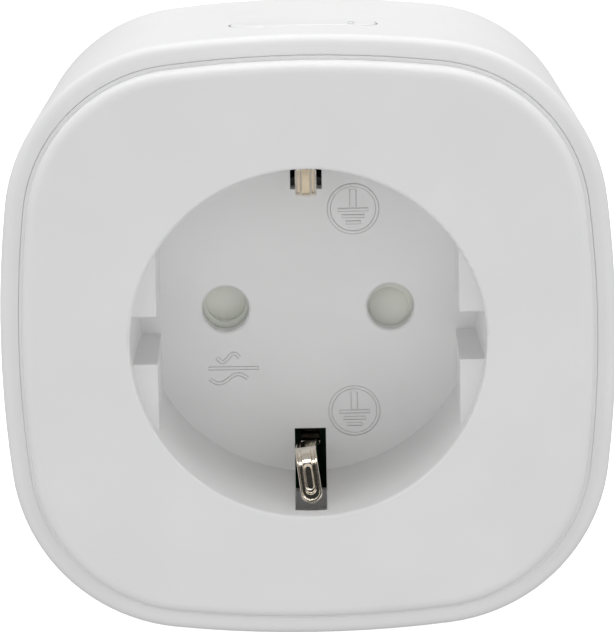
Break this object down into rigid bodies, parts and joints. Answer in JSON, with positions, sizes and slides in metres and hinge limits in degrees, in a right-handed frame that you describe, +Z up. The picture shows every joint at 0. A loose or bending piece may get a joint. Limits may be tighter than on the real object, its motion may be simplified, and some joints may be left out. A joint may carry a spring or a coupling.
{
  "type": "plug in power meter",
  "caption": "Plug-in power meter: rounded square body, shuttered round socket recess with side earth clips in front, button on top, earthed plug with round pins behind.",
  "frame": {"origin": "centre of the plug body's end face, midway between the pins", "axes": "+Y into the wall along the pins, +Z up, +X to the right seen from the front; the socket recess faces -Y"},
  "size_m": [0.0692, 0.075, 0.0692],
  "materials": {
    "shell_plastic": "fine satin, injection moulded",
    "button_plastic": "fine satin, injection moulded",
    "shutter_plastic": "satin acetal",
    "carrier_plastic": "glass-filled nylon, matt",
    "switch_black": "moulded, matt",
    "circuit_board": "glass-epoxy with solder mask",
    "chip_black": "moulded epoxy, matt",
    "light_lens": "clear diffuse resin",
    "can_steel": "tin plated, pressed",
    "spring_steel": "drawn wire, bright",
    "nickel_brass": "nickel plated, polished",
    "contact_copper": "spring copper alloy, bright",
    "screw_steel": "zinc plated",
    "relay_blue": "moulded, glossy",
    "relay_iron": "soft iron, nickel flashed",
    "coil_copper": "enamelled wire",
    "ferrite": "sintered ferrite",
    "capacitor_sleeve": "printed sleeve on aluminium",
    "film_box": "potted box",
    "varistor_blue": "epoxy coated disc",
    "resistor_body": "flameproof coating",
    "shunt_metal": "manganin strip"
  },
  "bodies": {
    "housing": {"front_cover": "shell_plastic", "rear_housing": "shell_plastic", "plug_body": "shell_plastic", "tact_switch_body": "switch_black", "control_board": "circuit_board", "status_light": "light_lens", "radio_shield": "can_steel", "radio_chip": "chip_black", "shutter_pivot": "spring_steel", "shutter_spring": "spring_steel", "contact_carrier": "carrier_plastic", "line_contact": "contact_copper", "neutral_contact": "contact_copper", "earth_bridge": "nickel_brass", "plug_pin_line": "nickel_brass", "plug_pin_neutral": "nickel_brass", "pin_retainer": "carrier_plastic", "plug_earth_bracket": "nickel_brass", "earth_receptacle": "nickel_brass", "line_strap": "contact_copper", "neutral_strap": "contact_copper", "earth_link": "nickel_brass", "main_board": "circuit_board", "relay_case": "relay_blue", "relay_base": "switch_black", "relay_coil": "coil_copper", "relay_yoke": "relay_iron", "bulk_capacitors": "capacitor_sleeve", "film_capacitor": "film_box", "varistor": "varistor_blue", "fuse_resistor": "resistor_body", "power_inductor": "ferrite", "inductor_winding": "coil_copper", "current_shunt": "shunt_metal", "metering_chip": "chip_black", "supply_chip": "chip_black", "bridge_rectifier": "chip_black", "housing_screws": "screw_steel", "carrier_screws": "screw_steel"},
    "button": {"power_button": "button_plastic"},
    "switch_plunger": {"tact_switch_plunger": "switch_black"},
    "shutter": {"safety_shutter": "shutter_plastic"},
    "clip_upper": {"earth_clip_upper": "nickel_brass"},
    "clip_lower": {"earth_clip_lower": "nickel_brass"},
    "armature": {"relay_armature": "relay_iron"}
  },
  "joints": [
    {"name": "button_press", "type": "slide", "parent": "housing", "child": "button", "axis": [0, 0, -1], "range_m": [0, 0.0005], "stiffness_N_per_m": 1200, "springref_m": -0.0003},
    {"name": "switch_plunger_slide", "type": "slide", "parent": "housing", "child": "switch_plunger", "axis": [0, 0, -1], "range_m": [0, 0.0005], "stiffness_N_per_m": 200, "springref_m": -0.0003},
    {"name": "shutter_turn", "type": "hinge", "parent": "housing", "child": "shutter", "pos_m": [0, -0.0353, 0], "axis": [0, 1, 0], "range_deg": [0, 38], "stiffness_Nm_per_rad": 0.008, "springref_deg": -22.92, "deforming": ["shutter_spring"]},
    {"name": "earth_clip_upper_flex", "type": "hinge", "parent": "housing", "child": "clip_upper", "pos_m": [0, -0.0345, 0.0172], "axis": [-1, 0, 0], "range_deg": [0, 6], "stiffness_Nm_per_rad": 0.1},
    {"name": "earth_clip_lower_flex", "type": "hinge", "parent": "housing", "child": "clip_lower", "pos_m": [-0.00015, -0.0345, -0.0172], "axis": [0.9888, 0, 0.1495], "range_deg": [0, 6], "stiffness_Nm_per_rad": 0.1},
    {"name": "relay_armature_tilt", "type": "hinge", "parent": "housing", "child": "armature", "pos_m": [-0.0198, -0.028, 0.0055], "axis": [0, -1, 0], "range_deg": [0, 4], "stiffness_Nm_per_rad": 0.002, "springref_deg": -11.46}
  ],
  "couplings": [
    {"joint": "switch_plunger_slide", "follows": "button_press", "ratio": 1}
  ]
}
